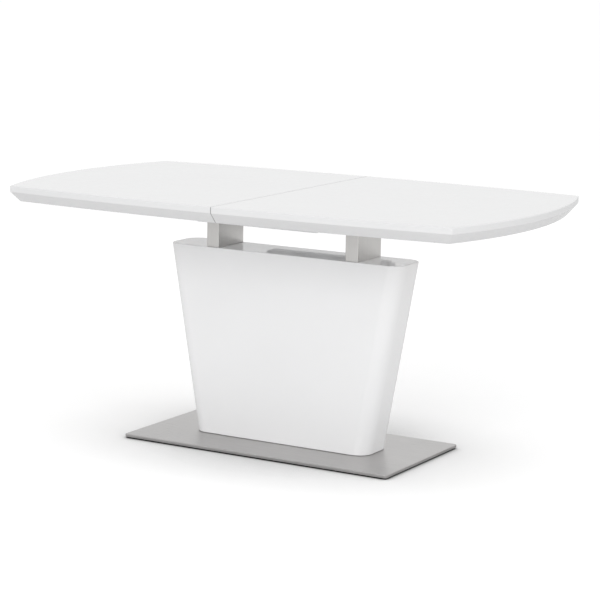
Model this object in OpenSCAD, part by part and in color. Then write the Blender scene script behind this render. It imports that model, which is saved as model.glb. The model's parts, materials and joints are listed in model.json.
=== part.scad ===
// Extendable dining table: a boat-shaped gloss top in two halves on equalizer slides,
// a tapered pedestal with two posts, a folded leaf stored between them and a steel-clad base.
// Frame: origin on the floor under the middle of the table, X along its length, Z up.

/* [Top] */
// Length of the closed table
table_length = 1600; // [1400:10:1920]
// Width of the table across its middle
table_width = 900; // [880:10:1080]
// Height of the top surface above the floor
table_height = 760; // [720:5:912]
// How far the long edges bow outwards
side_bow = 37; // [20:1:44]
// How far the end edges bow outwards
end_bow = 76; // [50:1:90]
// Thickness of the top panel, which is also the height of the fascia
panel_t = 18; // [16:1:22]
// Height of the undercut frame that is glued beneath the panel
frame_h = 29; // [24:1:32]
// How far the undercut runs in towards the middle
undercut = 26; // [15:1:32]
// Width of the edge frame where it meets the panel
rim_w = 60; // [50:1:62]

/* [Leaf] */
// Width of the stored leaf, which is the length that it adds to the table
leaf_width = 400; // [340:10:480]
// Gap between the two folded panels of the leaf
leaf_fold_gap = 0.5; // [0.5:0.5:2]
// Depth of the bar that the leaf turns on
pivot_bar_d = 36; // [24:1:40]

/* [Slides] */
// Half of the length of a centre rail
rail_half = 420; // [360:10:440]
// Thickness of a centre rail
rail_t = 44; // [40:1:48]
// Height of a centre rail
rail_h = 26; // [24:1:27]
// Thickness of a runner's body
runner_t = 22; // [18:1:24]
// Module of the rack teeth
rack_module = 1.5; // [1.5:0.25:2]
// Number of teeth on a pinion
pinion_teeth = 16; // [14:2:16]
// Radius of a pinion's axle
axle_r = 4; // [3:0.5:5]

/* [Pedestal] */
// How far the pedestal reaches past the middle of a post where it meets the base
ped_foot_reach = 60; // [44:2:84]
// How far the pedestal reaches past the middle of a post at its top
ped_top_reach = 160; // [114:2:184]
// Depth of the pedestal
ped_depth = 150; // [146:2:180]
// Radius of the pedestal's corners
ped_corner_r = 45; // [30:1:55]
// Wall thickness of the pedestal
ped_wall = 14; // [10:1:16]
// Gap between the pedestal and the underside of the top
neck_gap = 133; // [120:1:150]
// Width of a post along the table
post_w = 42; // [38:1:48]
// Depth of a post across the table
post_d = 140; // [120:2:144]

/* [Base] */
// Length of the base plate
base_l = 892; // [760:4:1070]
// Width of the base plate
base_w = 446; // [380:4:530]
// Thickness of the base plate with its steel cover
base_t = 10; // [8:0.5:14]
// Radius of the base plate's corners
base_corner_r = 8; // [4:1:16]
// Height of the pads under the base
pad_h = 3; // [2:0.5:5]

/* [Fits] */
// Gap of the seam between the two halves
seam_gap = 0.8; // [0.6:0.1:1.5]
// Gap between sliding parts
slide_gap = 0.5; // [0.4:0.1:0.8]
// Radial clearance of a pinion on its axle
axle_fit = 0.05; // [0.02:0.01:0.09]
// Thinning of each meshing tooth flank
tooth_play = 0.16; // [0.1:0.02:0.3]

/* [Hidden] */
// Levels
top_z = table_height;
panel_z = top_z - panel_t;
under_z = panel_z - frame_h;
cap_z = under_z - neck_gap;
plate_z = pad_h + base_t;

// Outline of the top: four arcs that meet at four corners
corner_x = table_length / 2 - end_bow;
corner_y = table_width / 2 - side_bow;
side_r = (corner_x * corner_x + side_bow * side_bow) / (2 * side_bow);
end_r = (corner_y * corner_y + end_bow * end_bow) / (2 * end_bow);
arc_fn = 720;
eps = 1;

// Slides
travel = leaf_width / 2;
rail_out = 60;
rail_drop = 4;
rail_y = table_width / 4 + rail_out;
rail_top = panel_z - rail_drop;
rail_bottom = rail_top - rail_h;
groove_h = 11;
groove_lift = 7.5;
groove_z = rail_bottom + groove_lift;
tongue_h = groove_h - 2 * slide_gap;
tongue_z = groove_z + slide_gap;
pressure_angle = 20;
dedendum = 1.25 * rack_module;
pitch_r = rack_module * pinion_teeth / 2;
tooth_tip = pitch_r - rack_module;
tip_gap = 1;
groove_floor = tooth_tip - tip_gap;
rack_d = 4 * rack_module;
rack_back = tooth_tip + rack_d;
runner_in = rail_t / 2 + slide_gap;
runner_lift = 4;
runner_z = rail_bottom + runner_lift;
runner_drop = 1.5;
runner_tail = 300;
runner_short = 160;
runner_head = table_length / 2 - runner_short;
seam_pad = 8;
rack_pitch = PI * rack_module;
rack_spare = 20;
rack_before = ceil((travel + rack_spare) / rack_pitch);
rack_after = 6;
rack_end = rack_after * rack_pitch;
tip_w = PI / 2 * rack_module - 2 * rack_module * tan(pressure_angle) - 2 * tooth_play;
root_w = PI / 2 * rack_module + 2 * dedendum * tan(pressure_angle) - 2 * tooth_play;
stop_r = 2;
window_gap = 0.7;
window_half = pitch_r + rack_module + window_gap;
screw_r = 3;
screw_head_r = 5.5;
screw_head_h = 3.8;
screw_grip = 10;
screw_fit = 0.2;
runner_screw_in = 40;
runner_screw_span = runner_head - seam_pad - 2 * runner_screw_in;
runner_screw_xs = [for (i = [0:4]) seam_pad + runner_screw_in + i * runner_screw_span / 4];
runner_screw_r = 2.25;
runner_screw_l = 36;
runner_screw_head_r = 4.4;
runner_screw_head_h = 3;
stop_x = rack_end + travel + stop_r + slide_gap;
stop_y = tooth_tip + stop_r;
cross_batten_w = 40;
cross_batten_x = runner_head - 2 * cross_batten_w;

// Bearers, head plates and posts
bearer_w = 40;
bearer_h = 16;
bearer_wall = 2.5;
bearer_z = rail_bottom - bearer_h;
bearer_half = rail_y + rail_t / 2;
head_t = 5;
head_z = bearer_z - head_t;
head_edge = 4;
head_w = post_w + 2 * head_edge;
head_d = post_d + 2 * head_edge;
head_bolt_y = 60;
head_bolt_r = 3;
head_bolt_l = 18;
head_bolt_head_r = 5.5;
head_bolt_head_h = 4;
head_nut_h = 5;
bolt_fit = 0.4;
leaf_side_gap = 15;
post_x = leaf_width / 2 + leaf_side_gap + post_w / 2;
post_wall = 2;
column_w = 30;
column_d = 90;
column_wall = 3;
foot_t = 8;
foot_w = 114;
foot_d = 104;
foot_in = 29;
foot_x = post_x - foot_in;
tie_h = 40;
tie_d = 20;
tube_wall = 2;
lower_tie_lift = 100;
upper_tie_drop = 80;
lower_tie_z = plate_z + lower_tie_lift;
upper_tie_z = cap_z - upper_tie_drop;

// Pedestal taper
ped_foot_l = 2 * (post_x + ped_foot_reach);
ped_top_l = 2 * (post_x + ped_top_reach);
taper = atan((ped_top_reach - ped_foot_reach) / (cap_z - plate_z));
cap_t = 18;
floor_t = 18;
batten = 18;
batten_end_gap = 6;
batten_half = post_x - column_w / 2 - batten_end_gap;
batten_y = ped_depth / 2 - ped_wall - batten / 2;
batten_screw_in = 30;
batten_screw_xs = [-1, 0, 1] * (batten_half - batten_screw_in);
batten_screw_r = 2;
batten_screw_l = 30;
batten_screw_head_r = 4;
batten_screw_head_h = 2.5;
foot_plate_gap = 1;

// Stored leaf: two panels folded over one another, edge frames outwards and to the rear
leaf_half = table_width / 4;
leaf_shift = 14;
leaf_front = leaf_shift - leaf_half;
leaf_rear = leaf_shift + leaf_half;
leaf_drop = 0.5;
leaf_top = panel_z - leaf_drop;
upper_panel_z = leaf_top - frame_h - panel_t;
lower_panel_z = upper_panel_z - leaf_fold_gap - panel_t;
lower_frame_z = lower_panel_z - frame_h;
leaf_hinge_r = 6;
leaf_hinge_depth = 20;
leaf_hinge_share = 0.36;
leaf_hinge_xs = [-1, 0, 1] * leaf_hinge_share * leaf_width;
leaf_link_t = 3;
rest_h = 12;
rest_w = 24;
rest_y = 55;
pivot_bar_h = 28;
pivot_r = 6;
pivot_in = 20;
hanger_t = 5;
hanger_d = 30;
hanger_lift = 4;
pivot_past = 3;
pivot_half = leaf_width / 2 + pivot_past;
pivot_y = leaf_rear - pivot_bar_d / 2;
pivot_z = lower_frame_z - pivot_bar_h / 2;
hanger_x = post_x - bearer_w / 2 - hanger_t;
hanger_z = pivot_z - pivot_bar_h / 2 + hanger_lift;
dowel_r = 4;
dowel_out = 10;
dowel_in = 16;
socket_r = dowel_r + slide_gap;
socket_wall = 1.5;
inner_dowel_y = 130;
outer_dowel_in = 70;
dowel_ys = [inner_dowel_y, table_width / 2 - outer_dowel_in];

// Seam latches
latch_x = 12;
latch_out = 75;
latch_y = rail_y + latch_out;
latch_reach = 24;
latch_r = 29;
stud_r = 2.5;
stud_slot = stud_r + slide_gap;
stud_tip = 5;
latch_t = 4;
latch_drop = 15;
latch_z = panel_z - latch_drop;
latch_pin_r = 3;
latch_hub_r = 10;
latch_half_turn = 25;
slot_from = -8;
slot_to = 32;
latch_head_r = 6;
latch_head_h = 3.5;
handle_w = 8;
handle_t = 3;
handle_out = 17;
handle_drop = 10;
keeper_l = 20;
keeper_w = 24;
keeper_t = 3;

// Base
cover_t = 1.2;
cover_lift = 1.2;
cover_z = pad_h + cover_lift;
pad_r = 16;
bolt_r = 4;
bolt_head_r = 6.5;
bolt_head_h = 4.5;
bolt_sunk = 0.3;
bolt_past = 7;
foot_nut_r = 7.5;
foot_nut_h = 6.5;
bolt_head_gap = 0.5;
bolt_ins = [42, 2];
bolt_xs = [for (d = bolt_ins) foot_x - d];
pad_end_in = 40;
pad_side_in = 30;
bolt_y = 42;

// ---------------------------------------------------------------- helpers

// Mirrors its children to the left end of the table when end is -1
module at_end(end) {
    if (end < 0) mirror([1, 0, 0]) children();
    else children();
}

// Mirrors its children from the front of the table to the rear when side is 1
module at_side(side) {
    if (side > 0) mirror([0, 1, 0]) children();
    else children();
}

// Moves its children to a slide line: y is then the distance from the rail's middle.
// The right half runs on the inner side of the rails and the left half on the outer side.
module at_slide(end, side) {
    at_end(end)
        at_side(side)
            translate([0, -rail_y, 0]) {
                if (end < 0) mirror([0, 1, 0]) children();
                else children();
            }
}

// Body of the table's outline, set in by low at its bottom and by high at its top
module outline(low, high, h) {
    side_mid = side_r - table_width / 2;
    end_mid = end_r - table_length / 2;
    intersection() {
        translate([0, -side_mid, 0])
            cylinder(h = h, r1 = side_r - low, r2 = side_r - high, $fn = arc_fn);
        translate([0, side_mid, 0])
            cylinder(h = h, r1 = side_r - low, r2 = side_r - high, $fn = arc_fn);
        translate([-end_mid, 0, 0])
            cylinder(h = h, r1 = end_r - low, r2 = end_r - high, $fn = arc_fn);
        translate([end_mid, 0, 0])
            cylinder(h = h, r1 = end_r - low, r2 = end_r - high, $fn = arc_fn);
    }
}

// Everything to the right of the seam
module right_of_seam(z, h) {
    translate([seam_gap / 2, -table_width, z - eps])
        cube([table_length, 2 * table_width, h + 2 * eps]);
}

// Block with upright rounded corners, centred on the Z axis
module round_block(l, w, r, h) {
    translate([-l / 2 + r, -w / 2, 0]) cube([l - 2 * r, w, h]);
    translate([-l / 2, -w / 2 + r, 0]) cube([l, w - 2 * r, h]);
    for (x = [-1, 1], y = [-1, 1])
        translate([x * (l / 2 - r), y * (w / 2 - r), 0]) cylinder(h = h, r = r, $fn = 48);
}

// Rectangular tube that stands on the XY plane
module upright_tube(w, d, wall, h) {
    difference() {
        translate([-w / 2, -d / 2, 0]) cube([w, d, h]);
        translate([-w / 2 + wall, -d / 2 + wall, -eps])
            cube([w - 2 * wall, d - 2 * wall, h + 2 * eps]);
    }
}

// Rectangular tube along X, centred, that stands on the XY plane
module cross_tube(l, d, wall, h) {
    difference() {
        translate([-l / 2, -d / 2, 0]) cube([l, d, h]);
        translate([-l / 2 - eps, -d / 2 + wall, wall])
            cube([l + 2 * eps, d - 2 * wall, h - 2 * wall]);
    }
}

// Half of the pedestal's length at a level
function ped_half(z) = ped_foot_l / 2 + (z - plate_z) * tan(taper);

// Right half of the tapered body: an outline with two round corners, extruded along the taper
module ped_end(inset, z0, z1) {
    r = ped_corner_r - inset;
    side = ped_depth / 2 - inset;
    reach = ped_top_l;
    run_in = reach * tan(taper) + r;
    intersection() {
        translate([0, -ped_depth, z0]) cube([ped_top_l, 2 * ped_depth, z1 - z0]);
        translate([ped_half(z0) - inset / cos(taper), 0, z0])
            rotate([0, taper, 0])
                translate([0, 0, -run_in])
                    linear_extrude(height = (z1 - z0) / cos(taper) + run_in + r)
                        polygon(concat(
                            [[-reach, side], [-reach, -side]],
                            [for (a = [-90:5:0]) [r * cos(a) - r, r * sin(a) - side + r]],
                            [for (a = [0:5:90]) [r * cos(a) - r, r * sin(a) + side - r]]));
    }
}

// Tapered body with rounded corners between two levels, set in from the pedestal's skin
module ped_body(inset, z0, z1) {
    for (end = [-1, 1])
        at_end(end) ped_end(inset, z0, z1);
}

// Screw with its point upwards and its head at the bottom
module screw_up(r, l, head_r, head_h) {
    cylinder(h = l, r = r, $fn = 24);
    cylinder(h = head_h, r = head_r, $fn = 24);
}

// ---------------------------------------------------------------- tabletop

module top_panel() {
    translate([0, 0, panel_z])
        intersection() {
            outline(0, 0, panel_t);
            right_of_seam(0, panel_t);
        }
}

module edge_frame() {
    translate([0, 0, under_z])
        intersection() {
            difference() {
                outline(undercut, 0, frame_h);
                translate([0, 0, -eps]) outline(rim_w, rim_w, frame_h + 2 * eps);
            }
            right_of_seam(0, frame_h);
        }
}

// Seats of the seam dowels
module dowel_seats(r) {
    for (y = dowel_ys, s = [-1, 1])
        translate([-eps, s * y, panel_z + panel_t / 2])
            rotate([0, 90, 0])
                cylinder(h = dowel_in + seam_gap / 2 + eps, r = r, $fn = 32);
}

module runner_screw_set(end, gap) {
    for (side = [-1, 1])
        at_slide(end, side)
            for (x = runner_screw_xs)
                translate([x, runner_in + runner_t / 2, runner_z])
                    screw_up(runner_screw_r + gap, runner_screw_l,
                             runner_screw_head_r + gap, runner_screw_head_h);
}

module right_top_panel() {
    color("white")
        difference() {
            top_panel();
            dowel_seats(dowel_r);
            runner_screw_set(1, 0);
        }
}

module left_top_panel() {
    color("white")
        difference() {
            at_end(-1) top_panel();
            at_end(-1) dowel_seats(socket_r + socket_wall);
            runner_screw_set(-1, 0);
        }
}

module right_edge_frame() {
    color("white") edge_frame();
}

module left_edge_frame() {
    color("white") at_end(-1) edge_frame();
}

module dowel_pins() {
    color("goldenrod")
        for (y = dowel_ys, s = [-1, 1])
            translate([seam_gap / 2 - dowel_out, s * y, panel_z + panel_t / 2])
                rotate([0, 90, 0])
                    cylinder(h = dowel_out + dowel_in, r = dowel_r, $fn = 32);
}

module dowel_sockets() {
    color("goldenrod")
        for (y = dowel_ys, s = [-1, 1])
            translate([-seam_gap / 2 - dowel_in, s * y, panel_z + panel_t / 2])
                rotate([0, 90, 0])
                    difference() {
                        cylinder(h = dowel_in, r = socket_r + socket_wall, $fn = 32);
                        translate([0, 0, -eps])
                            cylinder(h = dowel_in + 2 * eps, r = socket_r, $fn = 32);
                    }
}

// ---------------------------------------------------------------- slides

// Runner in its slide line: body under its own half, a lowered tail and the tongue in the groove
module runner() {
    translate([seam_pad, runner_in, runner_z])
        cube([runner_head - seam_pad, runner_t, panel_z - runner_z]);
    translate([-runner_tail, runner_in, runner_z])
        cube([runner_tail + seam_pad, runner_t, panel_z - runner_drop - runner_z]);
    translate([-runner_tail, rack_back, tongue_z])
        cube([runner_tail + runner_head, runner_in - rack_back + eps, tongue_h]);
}

module drilled_runner(end, side) {
    color("silver")
        difference() {
            at_slide(end, side) runner();
            runner_screw_set(end, screw_fit);
        }
}

module right_front_runner() {
    drilled_runner(1, -1);
}

module right_rear_runner() {
    drilled_runner(1, 1);
}

module left_front_runner() {
    drilled_runner(-1, -1);
}

module left_rear_runner() {
    drilled_runner(-1, 1);
}

// Rack: a gap between two teeth lies over the pinion when the table is closed
module rack() {
    root_y = pitch_r + dedendum;
    teeth = [for (i = [-rack_before:rack_after - 1]) (i + 0.5) * rack_pitch];
    flanks = [for (x = teeth) each [
        [x - root_w / 2, root_y], [x - tip_w / 2, tooth_tip],
        [x + tip_w / 2, tooth_tip], [x + root_w / 2, root_y]]];
    color("dimgray")
        translate([0, 0, tongue_z])
            linear_extrude(height = tongue_h)
                polygon(concat(
                    [[rack_end, rack_back], [-rack_before * rack_pitch, rack_back],
                     [-rack_before * rack_pitch, root_y]],
                    flanks,
                    [[rack_end, root_y]]));
}

module right_front_rack() {
    at_slide(1, -1) rack();
}

module right_rear_rack() {
    at_slide(1, 1) rack();
}

module left_front_rack() {
    at_slide(-1, -1) rack();
}

module left_rear_rack() {
    at_slide(-1, 1) rack();
}

module cross_batten(end, half) {
    color("burlywood")
        at_end(end)
            translate([cross_batten_x, -half, runner_z])
                cube([cross_batten_w, 2 * half, panel_z - runner_z]);
}

module right_cross_batten() {
    cross_batten(1, rail_y - runner_in - runner_t);
}

module left_cross_batten() {
    cross_batten(-1, rail_y + rack_back);
}

module right_runner_screws() {
    color("gray") runner_screw_set(1, 0);
}

module left_runner_screws() {
    color("gray") runner_screw_set(-1, 0);
}

// Stops in the two grooves of a rail, one for each half
module stop_pins() {
    for (s = [-1, 1])
        translate([s * stop_x, s * stop_y, rail_bottom])
            cylinder(h = rail_h, r = stop_r, $fn = 24);
}

// Screws that hold a rail to the bearers, heads upwards
module rail_screw_set(gap) {
    for (s = [-1, 1])
        translate([s * post_x, 0, rail_top])
            mirror([0, 0, 1])
                screw_up(screw_r + gap, rail_h + screw_grip, screw_head_r + gap, screw_head_h);
}

module center_rail(side) {
    color("lightgray")
        at_side(side)
            translate([0, -rail_y, 0])
                difference() {
                    translate([-rail_half, -rail_t / 2, rail_bottom])
                        cube([2 * rail_half, rail_t, rail_h]);
                    for (s = [0, 1])
                        mirror([0, s, 0])
                            translate([-rail_half - eps, groove_floor, groove_z])
                                cube([2 * rail_half + 2 * eps, rail_t, groove_h]);
                    translate([-window_half, -groove_floor - eps, groove_z])
                        cube([2 * window_half, 2 * groove_floor + 2 * eps, groove_h]);
                    translate([0, 0, rail_bottom - eps])
                        cylinder(h = rail_h + 2 * eps, r = axle_r, $fn = 48);
                    stop_pins();
                    rail_screw_set(screw_fit);
                }
}

module front_center_rail() {
    center_rail(-1);
}

module rear_center_rail() {
    center_rail(1);
}

module rail_stop_pins() {
    color("gray")
        for (side = [-1, 1])
            at_side(side) translate([0, -rail_y, 0]) stop_pins();
}

module rail_screws() {
    color("gray")
        for (side = [-1, 1])
            at_side(side) translate([0, -rail_y, 0]) rail_screw_set(0);
}

// Involute pinion teeth
base_r = pitch_r * cos(pressure_angle);
outer_r = pitch_r + rack_module;
root_r = pitch_r - dedendum;
function turn(r) = tan(acos(base_r / r)) * 180 / PI - acos(base_r / r);
function half_tooth(r) = 90 / pinion_teeth + turn(pitch_r) - turn(r) - tooth_play / pitch_r * 180 / PI;
function polar(r, a) = [r * cos(a), r * sin(a)];
flank_rs = [for (i = [0:4]) base_r + (outer_r - base_r) * i / 4];
tooth_angles = [for (i = [0:pinion_teeth - 1]) 90 + i * 360 / pinion_teeth];

module pinion(side) {
    outline_points = [for (a = tooth_angles) each concat(
        [polar(root_r, a - half_tooth(base_r))],
        [for (r = flank_rs) polar(r, a - half_tooth(r))],
        [for (i = [4:-1:0]) polar(flank_rs[i], a + half_tooth(flank_rs[i]))],
        [polar(root_r, a + half_tooth(base_r))])];
    color("gold")
        at_side(side)
            translate([0, -rail_y, tongue_z])
                difference() {
                    linear_extrude(height = tongue_h) polygon(outline_points);
                    translate([0, 0, -eps])
                        cylinder(h = tongue_h + 2 * eps, r = axle_r + axle_fit, $fn = 48);
                }
}

module front_pinion() {
    pinion(-1);
}

module rear_pinion() {
    pinion(1);
}

module pinion_axles() {
    color("gray")
        for (side = [-1, 1])
            at_side(side)
                translate([0, -rail_y, rail_bottom])
                    cylinder(h = rail_h, r = axle_r, $fn = 48);
}

// ---------------------------------------------------------------- seam latches

// Sector of a circle about the latch's pin between two angles, twice as far out as the arm
module latch_sector(from, to, h) {
    linear_extrude(height = h)
        polygon([[0, 0], 2 * latch_r * [cos(from), sin(from)],
                 2 * latch_r * [cos((from + to) / 2), sin((from + to) / 2)],
                 2 * latch_r * [cos(to), sin(to)]]);
}

// Turning hook with an open slot that follows an arc about its pin
module latch_lever(side) {
    cut_h = latch_t + 2 * eps;
    color("silver")
        at_side(side)
            translate([latch_x, -latch_y, latch_z])
                difference() {
                    union() {
                        cylinder(h = latch_t, r = latch_hub_r, $fn = 48);
                        intersection() {
                            cylinder(h = latch_t, r = latch_r, $fn = 96);
                            latch_sector(-latch_half_turn, latch_half_turn, latch_t);
                        }
                        translate([-handle_w / 2, -handle_out, -handle_drop])
                            cube([handle_w, handle_t, handle_drop + latch_t]);
                        translate([-handle_w / 2, -handle_out, 0])
                            cube([handle_w, handle_out, latch_t]);
                    }
                    translate([0, 0, -eps])
                        cylinder(h = cut_h, r = latch_pin_r + axle_fit, $fn = 48);
                    intersection() {
                        difference() {
                            translate([0, 0, -eps])
                                cylinder(h = cut_h, r = latch_reach + stud_slot, $fn = 96);
                            translate([0, 0, -2 * eps])
                                cylinder(h = cut_h + 2 * eps, r = latch_reach - stud_slot, $fn = 96);
                        }
                        translate([0, 0, -eps]) latch_sector(slot_from, slot_to, cut_h);
                    }
                }
}

module front_latch_lever() {
    latch_lever(-1);
}

module rear_latch_lever() {
    latch_lever(1);
}

module latch_blocks() {
    block_z = latch_z + latch_t + slide_gap;
    head_z = latch_z - slide_gap - latch_head_h;
    color("gainsboro")
        for (side = [-1, 1])
            at_side(side)
                translate([latch_x, -latch_y, 0]) {
                    translate([0, 0, block_z])
                        cylinder(h = panel_z - block_z, r = latch_hub_r, $fn = 48);
                    translate([0, 0, head_z])
                        cylinder(h = block_z + eps - head_z, r = latch_pin_r, $fn = 48);
                    translate([0, 0, head_z])
                        cylinder(h = latch_head_h, r = latch_head_r, $fn = 48);
                }
}

module latch_keepers() {
    stud_z = latch_z - stud_tip;
    color("gainsboro")
        for (side = [-1, 1])
            at_side(side)
                translate([latch_x - latch_reach, -latch_y, 0]) {
                    translate([-keeper_l / 2, -keeper_w / 2, panel_z - keeper_t])
                        cube([keeper_l, keeper_w, keeper_t]);
                    translate([0, 0, stud_z])
                        cylinder(h = panel_z - eps - stud_z, r = stud_r, $fn = 32);
                }
}

// ---------------------------------------------------------------- centre frame

module bearer(end) {
    color("dimgray")
        difference() {
            translate([end * post_x, 0, bearer_z])
                rotate([0, 0, 90]) cross_tube(2 * bearer_half, bearer_w, bearer_wall, bearer_h);
            for (side = [-1, 1])
                at_side(side) translate([0, -rail_y, 0]) rail_screw_set(0);
            head_bolt_set(end, bolt_fit);
        }
}

// Bolts up through a head plate into its bearer, each with a nut inside the bearer
module head_bolt_set(end, gap) {
    for (y = [-1, 1])
        translate([end * post_x, y * head_bolt_y, head_z]) {
            translate([0, 0, -head_bolt_head_h])
                cylinder(h = head_bolt_l, r = head_bolt_r + gap, $fn = 32);
            if (gap == 0) {
                translate([0, 0, -head_bolt_head_h])
                    cylinder(h = head_bolt_head_h, r = head_bolt_head_r, $fn = 6);
                translate([0, 0, head_t + bearer_wall])
                    cylinder(h = head_nut_h, r = head_bolt_head_r, $fn = 6);
            }
        }
}

module left_bearer() {
    bearer(-1);
}

module right_bearer() {
    bearer(1);
}

module head_bolts() {
    color("gray")
        for (end = [-1, 1])
            head_bolt_set(end, 0);
}

module head_plate(end) {
    color("dimgray")
        difference() {
            translate([end * post_x - head_w / 2, -head_d / 2, head_z])
                cube([head_w, head_d, head_t]);
            head_bolt_set(end, bolt_fit);
        }
}

module left_head_plate() {
    head_plate(-1);
}

module right_head_plate() {
    head_plate(1);
}

// ---------------------------------------------------------------- stored leaf

// Barrels of the hidden leaf hinges at one level
module hinge_seats(z) {
    for (x = leaf_hinge_xs)
        translate([x, leaf_front - eps, z])
            rotate([-90, 0, 0])
                cylinder(h = leaf_hinge_depth + eps, r = leaf_hinge_r, $fn = 32);
}

module leaf_dowel_set(z, x, l, r) {
    for (y = dowel_ys)
        translate([x, leaf_front + y, z])
            rotate([0, 90, 0])
                cylinder(h = l, r = r, $fn = 32);
}

module leaf_panel(z) {
    mid = z + panel_t / 2;
    color("whitesmoke")
        difference() {
            translate([-leaf_width / 2, leaf_front, z])
                cube([leaf_width, leaf_rear - leaf_front, panel_t]);
            hinge_seats(mid);
            leaf_dowel_set(mid, -leaf_width / 2 - eps, dowel_in + eps, dowel_r);
            leaf_dowel_set(mid, leaf_width / 2 - dowel_in, dowel_in + eps, socket_r);
        }
}

module leaf_lower_panel() {
    leaf_panel(lower_panel_z);
}

module leaf_upper_panel() {
    leaf_panel(upper_panel_z);
}

// Bevelled edge frame of a leaf panel, seen along X with the panel above it
module leaf_frame() {
    color("whitesmoke")
        translate([-leaf_width / 2, leaf_rear, 0])
            rotate([90, 0, 90])
                linear_extrude(height = leaf_width)
                    polygon([[-rim_w, 0], [-undercut, 0], [0, frame_h], [-rim_w, frame_h]]);
}

module leaf_lower_frame() {
    translate([0, 0, lower_frame_z]) leaf_frame();
}

module leaf_upper_frame() {
    translate([0, 0, leaf_top]) mirror([0, 0, 1]) leaf_frame();
}

module leaf_hinges() {
    lower = lower_panel_z + panel_t / 2;
    upper = upper_panel_z + panel_t / 2;
    color("silver")
        for (x = leaf_hinge_xs)
            translate([x, leaf_front, 0]) {
                for (z = [lower, upper])
                    translate([0, -eps, z])
                        rotate([-90, 0, 0])
                            cylinder(h = leaf_hinge_depth + eps, r = leaf_hinge_r, $fn = 32);
                translate([-leaf_hinge_r, -leaf_link_t, lower - leaf_hinge_r])
                    cube([2 * leaf_hinge_r, leaf_link_t, upper - lower + 2 * leaf_hinge_r]);
            }
}

module leaf_dowels() {
    l = dowel_in + dowel_out;
    color("goldenrod")
        for (z = [lower_panel_z, upper_panel_z])
            leaf_dowel_set(z + panel_t / 2, -leaf_width / 2 - dowel_out, l, dowel_r);
}

module leaf_rest_rails() {
    color("dimgray")
        for (y = [-1, 1])
            translate([0, y * rest_y, lower_panel_z - rest_h])
                cross_tube(2 * post_x - post_w, rest_w, tube_wall, rest_h);
}

// Pins on which the bar that carries the leaf turns
module pivot_pins() {
    for (s = [-1, 1])
        at_end(s)
            translate([pivot_half - pivot_in, pivot_y, pivot_z])
                rotate([0, 90, 0])
                    cylinder(h = hanger_x - pivot_half + pivot_in + eps, r = pivot_r, $fn = 32);
}

module leaf_pivot_bar() {
    color("dimgray")
        difference() {
            translate([-pivot_half, leaf_rear - pivot_bar_d, lower_frame_z - pivot_bar_h])
                cube([2 * pivot_half, pivot_bar_d, pivot_bar_h]);
            pivot_pins();
        }
}

module leaf_pivot_brackets() {
    color("dimgray") {
        pivot_pins();
        for (s = [-1, 1])
            at_end(s)
                translate([hanger_x, pivot_y - hanger_d / 2, hanger_z])
                    cube([hanger_t, hanger_d, rail_bottom - hanger_z]);
    }
}

// ---------------------------------------------------------------- posts and columns

module post(end) {
    color("silver")
        translate([end * post_x, 0, cap_z])
            upright_tube(post_w, post_d, post_wall, head_z - cap_z);
}

module left_post() {
    post(-1);
}

module right_post() {
    post(1);
}

module column(end) {
    color("dimgray")
        translate([end * post_x, 0, plate_z + foot_t])
            upright_tube(column_w, column_d, column_wall, head_z - plate_z - foot_t);
}

module left_column() {
    column(-1);
}

module right_column() {
    column(1);
}

// Bolts up through the base into the foot plates, heads sunk in the base's underside
module foot_bolt_set(gap) {
    for (end = [-1, 1], x = bolt_xs, y = [-1, 1])
        translate([end * x, y * bolt_y, pad_h + bolt_sunk]) {
            cylinder(h = base_t + foot_t + bolt_past, r = bolt_r + gap, $fn = 32);
            if (gap == 0) {
                cylinder(h = bolt_head_h, r = bolt_head_r, $fn = 6);
                translate([0, 0, base_t + foot_t - bolt_sunk])
                    cylinder(h = foot_nut_h, r = foot_nut_r, $fn = 6);
            }
        }
}

module foot_plate(end) {
    color("dimgray")
        difference() {
            translate([end * foot_x - foot_w / 2, -foot_d / 2, plate_z])
                cube([foot_w, foot_d, foot_t]);
            foot_bolt_set(bolt_fit);
        }
}

module left_foot_plate() {
    foot_plate(-1);
}

module right_foot_plate() {
    foot_plate(1);
}

module foot_bolts() {
    color("gray") foot_bolt_set(0);
}

module tie(z) {
    color("dimgray")
        translate([0, 0, z])
            cross_tube(2 * post_x - column_w, tie_d, tube_wall, tie_h);
}

module lower_tie() {
    tie(lower_tie_z);
}

module upper_tie() {
    tie(upper_tie_z);
}

// ---------------------------------------------------------------- pedestal

module pedestal_shell() {
    color("white")
        difference() {
            ped_body(0, plate_z, cap_z);
            ped_body(ped_wall, plate_z - eps, cap_z + eps);
        }
}

// Screws from the battens into the cap above and the floor below
module batten_screw_set() {
    for (x = batten_screw_xs, y = [-1, 1]) {
        translate([x, y * batten_y, cap_z - cap_t - batten - batten_screw_head_h])
            screw_up(batten_screw_r, batten_screw_l, batten_screw_head_r, batten_screw_head_h);
        translate([x, y * batten_y, plate_z + floor_t + batten + batten_screw_head_h])
            mirror([0, 0, 1])
                screw_up(batten_screw_r, batten_screw_l, batten_screw_head_r, batten_screw_head_h);
    }
}

module pedestal_cap() {
    color("white")
        difference() {
            ped_body(ped_wall, cap_z - cap_t, cap_z);
            for (end = [-1, 1])
                translate([end * post_x - column_w / 2 - slide_gap,
                           -column_d / 2 - slide_gap, cap_z - cap_t - eps])
                    cube([column_w + 2 * slide_gap, column_d + 2 * slide_gap, cap_t + 2 * eps]);
            batten_screw_set();
        }
}

module pedestal_floor() {
    color("burlywood")
        difference() {
            ped_body(ped_wall, plate_z, plate_z + floor_t);
            for (end = [-1, 1])
                translate([end * foot_x - foot_w / 2 - foot_plate_gap,
                           -foot_d / 2 - foot_plate_gap, plate_z - eps])
                    cube([foot_w + 2 * foot_plate_gap, foot_d + 2 * foot_plate_gap,
                          floor_t + 2 * eps]);
            batten_screw_set();
        }
}

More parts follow.
